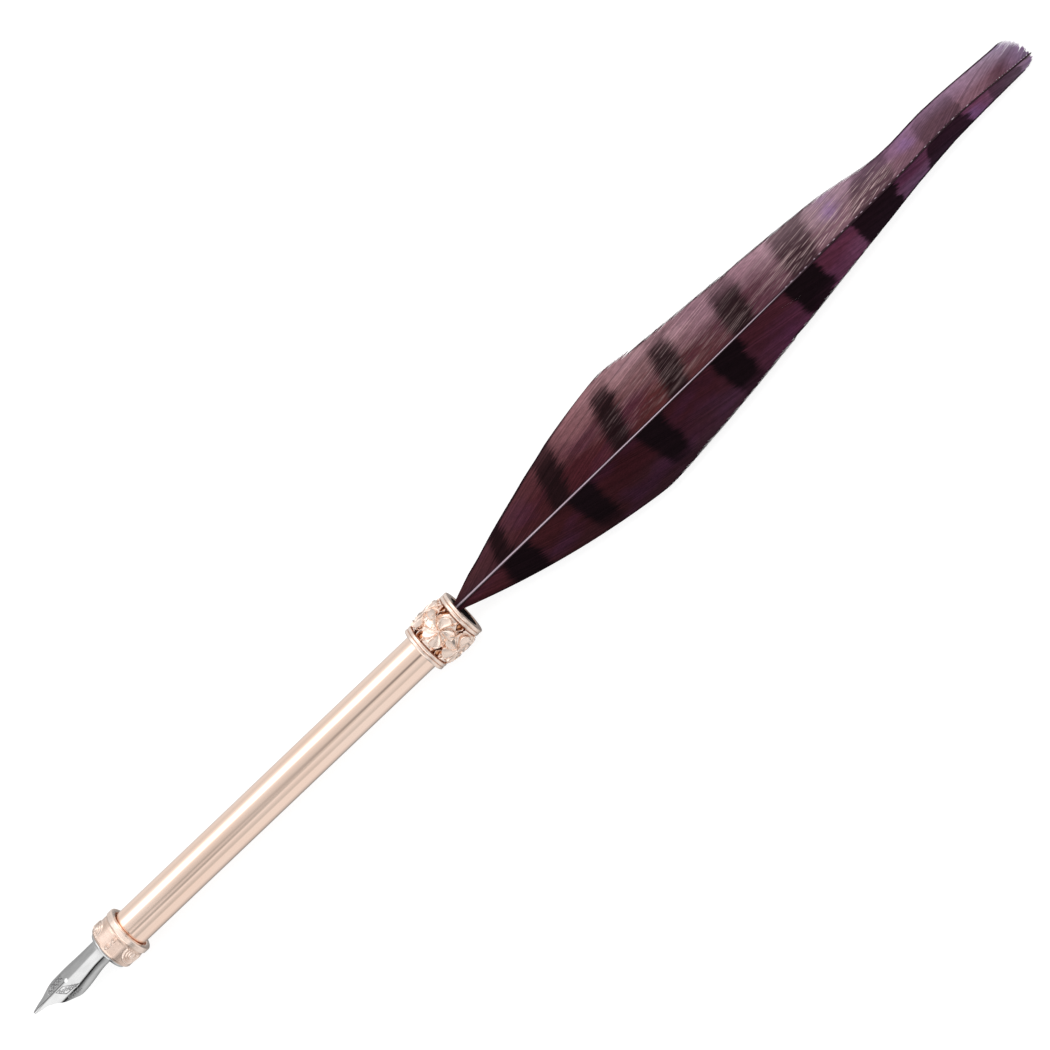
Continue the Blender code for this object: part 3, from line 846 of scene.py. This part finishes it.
def crown_height(along, arc):
    """The openwork's height over its wall, at a distance from its middle and an arc from its first flower."""
    height = np.zeros(np.broadcast(along, arc).shape)
    for index in range(FLOWERS):
        around = signed_turn((arc - index * PITCH) / ARC_RADIUS) * ARC_RADIUS
        height = np.maximum(height, pinwheel_flower(along, around))
        height = np.maximum(height, vines(along, around))
    return np.maximum(height, 0.5 * ridge(from_tendril(along, arc), 0.34))


def from_tendril(along, arc):
    """How far a point is from the wavy tendril that crosses its window."""
    around = arc % PITCH - PITCH / 2
    return np.abs(around - 0.36 * np.sin(2.6 * np.abs(along) + 1.2 * np.sign(along)))


def window_depth(along, arc):
    """How far a point is inside one of the openwork's windows: below zero outside them."""
    to_rim = 4.12
    around = arc % PITCH - PITCH / 2 + 0.2 * np.sin(1.7 * along)
    beside_rim = to_rim - np.abs(along)
    slope = math.radians(34)
    start = 2.1 + 0.25 * np.sin(arc * 0.7 + along)
    flank = (np.abs(along) - start) * math.sin(slope) - (np.abs(around) - 0.2) * math.cos(slope)
    sharp = 6.0
    window = -np.log(np.exp(-sharp * beside_rim) + np.exp(-sharp * flank)) / sharp
    return np.minimum(window, from_tendril(along, arc) - 0.15)


def make_openwork(look):
    """The crown's wall between its rims: a relief outside, a plain bore inside, and windows through both."""
    rows = 90
    columns = 588
    half = (CROWN_REAR - CROWN_FRONT) / 2 - RIM_WIDTH + 0.15
    along = np.linspace(-half, half, rows)[:, None] + np.zeros((1, columns))
    arc = np.arange(columns)[None, :] * FLOWERS * PITCH / columns + np.zeros((rows, 1))
    faces = grid_faces(rows, columns, closed_columns=True)
    depth = window_depth(along, arc).ravel()
    kept = depth[faces].mean(axis=1) < 0
    at_window = np.zeros(rows * columns, bool)
    at_window[faces[~kept]] = True
    step = 0.01
    grad_along = (window_depth(along + step, arc) - window_depth(along - step, arc)) / (2 * step)
    grad_arc = (window_depth(along, arc + step) - window_depth(along, arc - step)) / (2 * step)
    steepness = grad_along**2 + grad_arc**2 + 1e-9
    furthest = 0.08
    pull = np.clip(np.where(at_window, depth, 0.0).reshape(rows, columns) / steepness, -furthest, furthest)
    along = along - pull * grad_along
    arc = arc - pull * grad_arc
    height = crown_height(along, arc)
    beside_rim = smooth_step(np.abs(along), half - 0.42, half - 0.27)
    height = np.where(height < 0.6, height * (1 - beside_rim) - 0.25 * beside_rim, height)
    ceiling = 1.3 - 1.0 * smooth_step(np.abs(along), half - 1.1, half - 0.2)
    outer = CROWN_WALL + np.minimum(height, ceiling)
    angle = FIRST_FLOWER + arc / ARC_RADIUS
    outside = wrapped(CROWN_MIDDLE + along, angle, outer).reshape(-1, 3)
    inside = wrapped(CROWN_MIDDLE + along, angle, CROWN_BORE).reshape(-1, 3)
    points, every_face = thick_shell(outside, inside, faces[kept])
    # Painted shade: the grooves beside the rims, and the whole bore, turn towards dark copper.
    in_groove = smooth_step(np.abs(along), half - 0.5, half - 0.3).ravel()
    marks = {"hollow_shade": np.concatenate([0.8 * in_groove, np.ones(len(inside))])}
    points, every_face, marks = without_spares(points, every_face, marks)
    every_face = turned_outwards(points, every_face)
    add_piece("crown_openwork", points, every_face, look, ["crown_band"], marks=marks)


def make_crown_rim(name, front, look, lip_bore):
    """A rim of two beads with a fine groove between them. A lip at its rear narrows its bore."""
    lip = 0.25
    bead = RIM_WIDTH / 2
    valley = CROWN_RADIUS - 0.3
    rear = front + RIM_WIDTH
    corners = [(front, CROWN_BORE, 0.1)]
    for start in (front, front + bead):
        corners += [
            (start + 0.02, valley, 0.03),
            (start + 0.06, CROWN_RADIUS - 0.02, 0.24),
            (start + bead - 0.06, CROWN_RADIUS, 0.24),
            (start + bead - 0.02, valley, 0.03),
        ]
    corners += [(rear, lip_bore, 0.1), (rear - lip, lip_bore, 0.1), (rear - lip, CROWN_BORE, 0)]
    outline = rounded(corners, steps=8)
    points, faces = turned(outline, 360)
    radius = np.hypot(points[:, 1], points[:, 2])
    # Painted shade: the groove between the beads and all that lies below it, the bore included, turn towards
    # dark copper.
    hollow_shade = 0.6 * (1 - smooth_step(radius, valley - 0.05, valley + 0.1))
    add_piece(name, points, faces, look, ["crown_band"], marks={"hollow_shade": hollow_shade})


def make_crown():
    """The openwork between its two rims. The rear rim closes in round the feather."""
    look = cast_rose_gold("cast crown")
    make_openwork(look)
    make_crown_rim("crown_front_rim", CROWN_FRONT, look, CROWN_BORE - 0.1)
    make_crown_rim("crown_rear_rim", CROWN_REAR - RIM_WIDTH, look, MOUTH_BORE)


# ---------------------------------------------------------------- nib


def arabesque(x, arc, start, end, swing, period):
    """A waving stalk from start to end with a curl in each of its bends."""
    length = math.dist(start, end)
    along_x, along_arc = (end[0] - start[0]) / length, (end[1] - start[1]) / length
    u = (x - start[0]) * along_x + (arc - start[1]) * along_arc
    v = (arc - start[1]) * along_x - (x - start[0]) * along_arc
    stalk = ridge(v - swing * np.sin(2 * math.pi * u / period), 0.3 * swing)
    bend = np.floor(2 * u / period)
    lobe = np.where(bend % 2 == 0, 1.0, -1.0)
    reach = np.hypot(u - (bend + 0.5) * period / 2, v + 0.15 * swing * lobe)
    curl = np.maximum(ridge(reach - 0.55 * swing, 0.22 * swing), ridge(reach, 0.25 * swing))
    return np.maximum(stalk, curl) * (u > 0) * (u < length)


def engraving(x, arc):
    """The nib's engraved lines, from 0 to 1. arc counts from the slit, towards +Y."""
    frame_corners = [(6.9, -0.4), (9.0, -0.45), (12.0, -2.55), (8.6, -2.2)]
    line = arabesque(x, arc, (7.5, -0.85), (11.5, -2.3), 0.4, 1.5)
    for start, end in zip(frame_corners, frame_corners[1:] + frame_corners[:1]):
        line = np.maximum(line, ridge(to_segment(x, arc, start, end), 0.1))
    line = np.maximum(line, arabesque(x, arc, (8.2, -3.1), (11.6, -3.8), 0.34, 1.3))
    line = np.maximum(line, arabesque(x, arc, (5.4, 0.65), (10.0, 1.3), 0.55, 1.7))
    return np.maximum(line, arabesque(x, arc, (6.6, 1.75), (9.9, 2.25), 0.45, 1.4))


def nib_points(x, arc):
    """The nib's outer surface at stations and arc lengths from its top line."""
    bend = nib_bend(x)
    angle = arc / bend
    y = bend * np.sin(angle)
    z = nib_height(x) - bend + bend * np.cos(angle)
    cosine, sine = math.cos(NIB_ROLL), math.sin(NIB_ROLL)
    return np.stack([x, NIB_OFFSET + cosine * y + sine * z, cosine * z - sine * y], axis=-1)


def nib_normals(x, arc):
    """Which way the nib's outer surface faces."""
    small = 0.002
    along = nib_points(x + small, arc) - nib_points(x - small, arc)
    across = nib_points(x, arc + small) - nib_points(x, arc - small)
    normal = np.cross(along, across)
    return normal / np.linalg.norm(normal, axis=-1, keepdims=True)


def make_nib(steel):
    """Two tines that part at the tip and meet behind the breather hole, as one engraved sheet."""
    hole_front, hole_rear = BREATHER_X - BREATHER_RADIUS, BREATHER_X + BREATHER_RADIUS
    x = np.concatenate([
        np.linspace(0, 3, 24, endpoint=False),
        np.linspace(3, hole_front, 120, endpoint=False),
        BREATHER_X - BREATHER_RADIUS * np.cos(np.linspace(0, math.pi, 25)),
        np.linspace(hole_rear, 13, 36)[1:],
        np.linspace(13, NIB_REAR, 26)[1:],
    ])[:, None]
    half_hole = np.sqrt(np.clip(BREATHER_RADIUS**2 - (x - BREATHER_X) ** 2, 0, None))
    half_slit = SLIT_WIDTH / 2 + 0.1 * (1 - smooth_step(x, 0, 4))
    border = np.where(x < BREATHER_X, np.maximum(half_hole, half_slit), half_hole)
    closed = x > hole_rear - 1e-6
    border = np.where(closed, 0.0, border)
    tip_round = np.sqrt(np.clip(1 - (1 - np.clip(x / 0.45, 0, 1)) ** 2, 0.02, 1))
    edge = np.maximum(np.radians(nib_half_arc(x)) * nib_bend(x) * tip_round, border + 0.05)
    columns = 72
    share = np.linspace(0, 1, columns)[None, :]
    stations_x = x + 0 * share
    outer, inner, slit_shade_and_lines = [], [], []
    for side in (1, -1):
        arc = side * (border + (edge - border) * share)
        surface = nib_points(stations_x, arc)
        normal = nib_normals(stations_x, arc)
        lines = engraving(stations_x, arc)
        outer.append((surface - 0.04 * lines[..., None] * normal).reshape(-1, 3))
        inner.append((surface - NIB_SHEET * normal).reshape(-1, 3))
        # Painted shade beside the slit; the engraved lines are darkened as well.
        beside_slit = (1 - smooth_step(np.abs(arc) - border, 0.0, 0.1)) * (x < hole_front)
        slit_shade_and_lines.append(np.maximum(0.9 * beside_slit, 0.95 * lines).ravel())
    count = len(x) * columns
    one = grid_faces(len(x), columns)
    faces = np.concatenate([one, one[:, ::-1] + count])
    joined = np.arange(2 * count)
    on_top = np.nonzero(closed[:, 0])[0] * columns
    joined[count + on_top] = on_top
    points, faces = thick_shell(np.concatenate(outer), np.concatenate(inner), joined[faces])
    marks = {"slit_shade_and_lines": np.concatenate(slit_shade_and_lines + [np.zeros(2 * count)])}
    points, faces, marks = without_spares(points, faces, marks)
    add_piece("nib_sheet", points, turned_outwards(points, faces), steel, ["nib"], body="nib",
              marks=marks, sharp=50.0)


# ---------------------------------------------------------------- feather


def rachis_radius(x):
    share = np.clip((x - VANE_START) / (FEATHER_END - VANE_START), 0, 1)
    stem = RACHIS_RADIUS + (RACHIS_TIP_RADIUS - RACHIS_RADIUS) * share
    neck = np.clip((x - GROMMET_REAR) / (VANE_START - GROMMET_REAR), 0, 1)
    return QUILL_RADIUS + (stem - QUILL_RADIUS) * neck


def make_stem():
    """The quill and its stem: a tapering rod, ridged along its top and a little flat at its sides."""
    sides = 24
    x = np.concatenate([[QUILL_END, GROMMET_REAR - 0.4], np.linspace(GROMMET_REAR, VANE_START, 6)[1:],
                        np.linspace(VANE_START, FEATHER_END, 900)[1:]])[:, None]
    angle = np.arange(sides)[None, :] * 2 * math.pi / sides
    beyond_neck = smooth_step(x, VANE_START, VANE_START + 4)
    crest = 1 + 0.1 * beyond_neck * np.cos(angle) ** 8 - 0.08 * beyond_neck * np.sin(angle) ** 2
    end_round = np.sqrt(np.clip((FEATHER_END - x) / 0.4, 0.05, 1))
    radius = rachis_radius(x) * crest * end_round
    y = stem_line(x) + radius * np.sin(angle)
    z = stem_height(x) + radius * np.cos(angle)
    points = np.stack([x + 0 * angle, y, z], axis=-1).reshape(-1, 3)
    faces = [list(face) for face in grid_faces(len(x), sides, closed_columns=True)[:, ::-1]]
    last = (len(x) - 1) * sides
    faces.append(list(range(sides)))
    faces.append([last + sides - 1 - k for k in range(sides)])
    # Painted shade: the flanks beside the crest, and the whole stem past about 206 mm, are marked dark.
    aside = np.abs(radius * np.sin(angle - math.radians(8))) + 9 * (np.cos(angle) < 0)
    crest_width = 0.13 - 0.09 * smooth_step(x, VANE_START, 215)
    flank = smooth_step(aside, crest_width, crest_width + 0.08) * (x > GROMMET_REAR)
    dark = np.maximum(flank, smooth_step(x, 206, 232))
    # Painted highlights: pale dashes along the left shoulder, where the barb roots catch the light.
    along_left_shoulder = np.abs(signed_turn(angle - math.radians(50))) < 0.35
    dashed_stretch = (x > 221) & (x < 276)
    root_glint_dash = np.sin(3.1 * x) + np.sin(4.7 * x + 1.3) > 0.85
    dark = np.where(root_glint_dash & dashed_stretch & along_left_shoulder, 0.1, dark)
    add_piece("feather_stem", points, faces, stem_horn(), ["feather_shaft"],
              marks={"dark": dark}, sharp=50.0)


def vane_drop(reach):
    """How far the vane falls below the stem, this far out from it."""
    return VANE_FALL * reach + VANE_CURL * reach**2


# Where the barbs that leave the stem at one station reach each vane's outline. Past END_START the outline
# rounds the feather's blunt end, END_SPAN counting as its ninety degrees.
left_tips = curve_through([(125, 181), (150, 213), (175, 236), (200, 254), (225, 269), (250, 282), (272, 291),
                           (291, 300)])
right_tips = curve_through([(125, 176), (139, 190), (202, 238), (232, 256), (262, 284), (291, 300)])
END_START = 286.5
END_SPAN = 13.5
END_BLUNTNESS = 2.7


def outline_point(station, edge):
    """The vane's outline at a station, as x and y."""
    turn = np.clip((station - END_START) / END_SPAN, 0, 1) * math.pi / 2
    power = 2 / END_BLUNTNESS
    x = np.where(station < END_START, station, END_START + (FEATHER_END - END_START) * np.sin(turn) ** power)
    corner = edge(END_START)
    end = stem_line(FEATHER_END)
    y = np.where(station < END_START, edge(station), end + (corner - end) * np.cos(turn) ** power)
    return x, y


def outline_limit(x, edge, side, notches):
    """How far out from the stem the vane may go. A notch steps in, and runs out again over a few mm."""
    limit = side * (edge(x) - stem_line(x))
    share = np.clip((x - END_START) / (FEATHER_END - END_START), 0, 1)
    limit = limit * (1 - share**END_BLUNTNESS) ** (1 / END_BLUNTNESS)
    for at in notches:
        limit = limit - np.where(x > at, 0.38 * np.exp(-(x - at) / 2.2), 0.0)
    return np.maximum(limit, 0.15)


def bars_at(x, share, bars, jitter):
    """How deep a point is in a dark bar. Their edges are ragged, as each barb keeps its own."""
    depth_here = np.zeros_like(x)
    for stem_from, stem_to, edge_from, edge_to, depth, at_edge in bars:
        bulge = 0.9 * np.sin(np.pi * share)
        start = stem_from + (edge_from - stem_from) * share - 0.3 * bulge
        end = stem_to + (edge_to - stem_to) * share + 0.5 * bulge
        inside = smooth_step(x - start - 0.4 * jitter, -0.25, 0.25)
        inside = inside * (1 - smooth_step(x - end - 1.0 * jitter, -0.3, 0.3))
        inside = inside * (1 + (at_edge - 1) * smooth_step(share + 0.1 * jitter, 0.68, 0.9))
        depth_here = np.maximum(depth_here, depth * inside)
    return depth_here


def barb_blades(path, reach, side, twist, taper):
    """A thin blade round each barb's path, with a ridge along it: a ring of four corners to each point."""
    count, steps = reach.shape
    tangent = np.gradient(path, axis=1)
    tangent /= np.linalg.norm(tangent, axis=-1, keepdims=True)
    slope = VANE_FALL + 2 * VANE_CURL * reach
    upward = np.stack([0 * reach, side * slope, np.ones_like(reach)], axis=-1)
    sideways = np.cross(upward, tangent)
    sideways /= np.linalg.norm(sideways, axis=-1, keepdims=True)
    upward = np.cross(tangent, sideways)
    to_next = np.diff(np.concatenate([path, path[-1:]], axis=0), axis=0)
    to_next[-1] = to_next[-2]
    spacing = np.clip(np.abs(np.einsum("ijk,ijk->ij", to_next, sideways)), 0.1, 0.34)
    width = (1.45 * spacing * taper)[..., None]
    cosine = np.cos(twist)[:, None, None]
    sine = np.sin(twist)[:, None, None]
    across = 0.5 * width * (sideways * cosine + upward * sine)
    crest = 0.24 * width * (upward * cosine - sideways * sine)
    corners = np.stack([path + across, path + crest, path - across, path - 0.5 * crest], axis=2)
    blade = grid_faces(steps, 4, closed_columns=True)
    caps = np.array([[3, 2, 1, 0], [(steps - 1) * 4 + k for k in range(4)]])
    blade = turned_outwards(corners[0].reshape(-1, 3), np.concatenate([blade, caps]))
    faces = (blade[None, :, :] + (np.arange(count) * steps * 4)[:, None, None]).reshape(-1, 4)
    return corners.reshape(-1, 3), faces


def caught_light(x, u, luck):
    """How brightly barbs catch the light: each over its own length, and most past the feather's middle."""
    strength = 1.3 * luck.random(len(x))[:, None] ** 1.6
    along = 0.2 * smooth_step(x, 165, 190) + 0.8 * smooth_step(x, 214, 234)
    along = along * (1 - smooth_step(x, 249, 258))
    streak_end = 0.3 + 0.7 * luck.random(len(x))[:, None]
    return strength * along * smooth_step(u, 0.02, 0.12) * (1 - smooth_step(u, streak_end - 0.1, streak_end))


def beside_bars(x, bars, side):
    """How near a point is to the lilac patches, before the left vane's bars and after the right's."""
    near = 0
    for bar in bars:
        centre = bar[0] - 2.0 if side > 0 else bar[1] + 2.5
        near = near + np.exp(-(((x - centre) / 2.0) ** 2))
    return np.clip(near, 0, 1)


def make_vane(name, side, edge, tips, bars, notches, glint_amount, look, node, seed):
    """One vane as separate barbs. u runs along each from its root to its tip."""
    luck = np.random.default_rng(seed)
    pitch = 0.72
    steps = 38
    bow = 0.54
    roots = np.arange(VANE_START, FEATHER_END - 0.6, pitch)
    count = len(roots)
    station = tips(roots)
    tip_x, tip_y = outline_point(station, edge)
    inner = rachis_radius(roots) * 0.7
    reach_end = np.maximum(side * (tip_y - stem_line(tip_x)), inner + 0.2)

    # Barbs keep together in tufts. A tuft leans a little further along than the next, and so opens a slit.
    starts = np.cumsum(luck.integers(5, 17, size=60))
    tuft = np.searchsorted(starts, np.arange(count), side="right")
    tufts = tuft.max() + 1
    lean = luck.normal(0, 0.2, tufts)[tuft]
    stretch = 1 + luck.normal(0, 0.002, count)
    lift = luck.normal(0, 0.05, tufts)[tuft] + luck.normal(0, 0.025, count)
    twist = luck.normal(0, 0.1, tufts)[tuft] + luck.normal(0, 0.16, count)
    strand = luck.random(count)[:, None]
    frayed = smooth_step(station, 286, 290)
    stray = frayed * luck.normal(0, 0.3, count)

    u = np.linspace(0, 1, steps)[None, :]
    x = roots[:, None] + ((tip_x - roots) * stretch)[:, None] * u + lean[:, None] * u * (1 - u) * 2
    x = np.minimum(x - (np.abs(stray) + 0.1 * frayed)[:, None] * u**2, FEATHER_END + 0.1)
    rise = u + bow * u * (1 - u)
    reach = inner[:, None] + ((reach_end - inner) * stretch)[:, None] * rise
    limit = outline_limit(x, edge, side, notches)
    reach = np.minimum(reach, limit - 0.08 * strand + np.maximum(stray, 0)[:, None])
    z = stem_height(x) - vane_drop(reach) + lift[:, None] * u
    path = np.stack([x, stem_line(x) + side * reach, z], axis=-1)
    fray_here = frayed[:, None] * u**8
    points, faces = barb_blades(path, reach, side, twist, (1 - 0.6 * fray_here) * (1 - 0.8 * u**30))

    share = np.clip(reach / limit, 0, 1)
    jitter = luck.normal(0, 0.22, count)[:, None] + luck.normal(0, 0.35, tufts)[tuft][:, None]
    near_bar = beside_bars(x, bars[6:], side) * smooth_step(share, 0.15, 0.6)
    marks = {
        "along": x,
        "reach": share,
        "bar": bars_at(x, share, bars, jitter),
        "lilac": 0.5 * np.maximum(near_bar, fray_here),
        "glint": glint_amount * caught_light(x, u, luck),
        "rim": 0.9 * (1 - smooth_step(limit - reach, 0.25, 0.42)) * smooth_step(share, 0.85, 0.93),
        "strand": strand + 0 * x,
    }
    marks = {mark: np.repeat(values.ravel(), 4) for mark, values in marks.items()}
    marks["glint"] *= np.tile([0.1, 1.0, 0.1, 0.0], count * steps)
    add_piece(name, points, faces, look, [node], marks=marks, sharp=80.0)


# Each bar: where it starts and ends along the stem, where along the outer edge, how dark it is, and what
# share of that is left at the edge.
LEFT_BARS = [(138.6, 142.5, 141, 145, 0.95, 1.0), (154.6, 159.5, 158.2, 164, 0.95, 0.75),
             (172, 176.8, 177, 182, 0.96, 0.15), (188.4, 194, 192.5, 197, 0.94, 0.3),
             (206.6, 213, 208.5, 214.5, 0.92, 0.5), (224, 231, 225, 234, 0.72, 0.85),
             (241, 253, 247.5, 255, 0.5, 0.9), (262, 273, 263, 272, 0.45, 0.5)]
RIGHT_BARS = [(139, 147, 138.5, 147, 0.98, 1.0), (158, 164.8, 160.5, 165, 0.98, 0.5),
              (177.6, 185, 181, 185, 0.98, 0.2), (199, 206.6, 201, 206.5, 0.98, 0.6),
              (220.5, 229.6, 222, 229.5, 0.98, 0.9), (240.5, 252, 240.5, 252, 0.95, 1.0),
              (262.5, 272, 260, 274, 0.85, 1.0), (279.5, 287.5, 279, 287, 0.55, 1.0)]

# Tones along the feather, by station: near the stem, then out at the edge. The right vane's tones are darker
# than the left's: partly its own colour, and partly painted shade, as the left vane faces the light.
LEFT_NEAR = [(130, "41252b"), (150, "3a191d"), (166, "3d181e"), (186, "4b2425"), (198, "4a2629"),
             (217, "50303a"), (238, "70525b"), (262, "704f5c"), (277, "75535f"), (284, "5c3c48"),
             (290, "75607a")]
LEFT_FAR = [(130, "44262a"), (156, "4e292e"), (170, "82595e"), (190, "99777c"), (217, "997581"),
            (238, "a58a92"), (256, "7f5c78"), (277, "97798e"), (290, "958799")]
RIGHT_NEAR = [(130, "421e25"), (150, "331418"), (172, "2c0f14"), (198, "34151d"), (217, "3d1a23"),
              (238, "52273a"), (256, "48253a"), (277, "663a52"), (290, "7c6478")]
RIGHT_FAR = [(130, "3a171c"), (150, "30161a"), (172, "2b161b"), (198, "38202c"), (217, "462135"),
             (238, "603750"), (256, "5a4058"), (277, "5e3a54"), (290, "84707f")]


def make_feather():
    make_stem()
    left = barb_keratin("left barbs", LEFT_NEAR, LEFT_FAR, tone("190b0e"), tone("1e0e15"))
    right = barb_keratin("right barbs", RIGHT_NEAR, RIGHT_FAR, tone("0f060a"), tone("12070d"))
    make_vane("left_barbs", 1, left_edge, left_tips, LEFT_BARS, (189, 213.5), 0.9, left, "vane_left", 3)
    make_vane("right_barbs", -1, right_edge, right_tips, RIGHT_BARS, (216,), 0.0, right, "vane_right", 8)


# ---------------------------------------------------------------- everything


def dress_hidden_nodes():
    """The bushes stay as CAD nodes inside the barrel."""
    brass = dull_metal("bush brass", (0.8, 0.6, 0.28), 0.35)
    for node in ("front_bush", "rear_bush"):
        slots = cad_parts[node].data.materials
        slots.clear()
        slots.append(brass)


def main():
    bpy.context.scene.view_settings.view_transform = "Standard"
    add_camera()
    add_world()
    add_floor()
    add_fill_lamp()
    make_nib(polished_steel("nib steel", STEEL, 0.12, with_dark_lines=True))
    make_ferrule(polished_steel("ferrule steel", STEEL, 0.12))
    make_core(polished_steel("core steel", STEEL_DULL, 0.3))
    make_collar()
    make_barrel()
    make_liner()
    make_crown()
    make_grommet()
    make_feather()
    dress_hidden_nodes()


main()
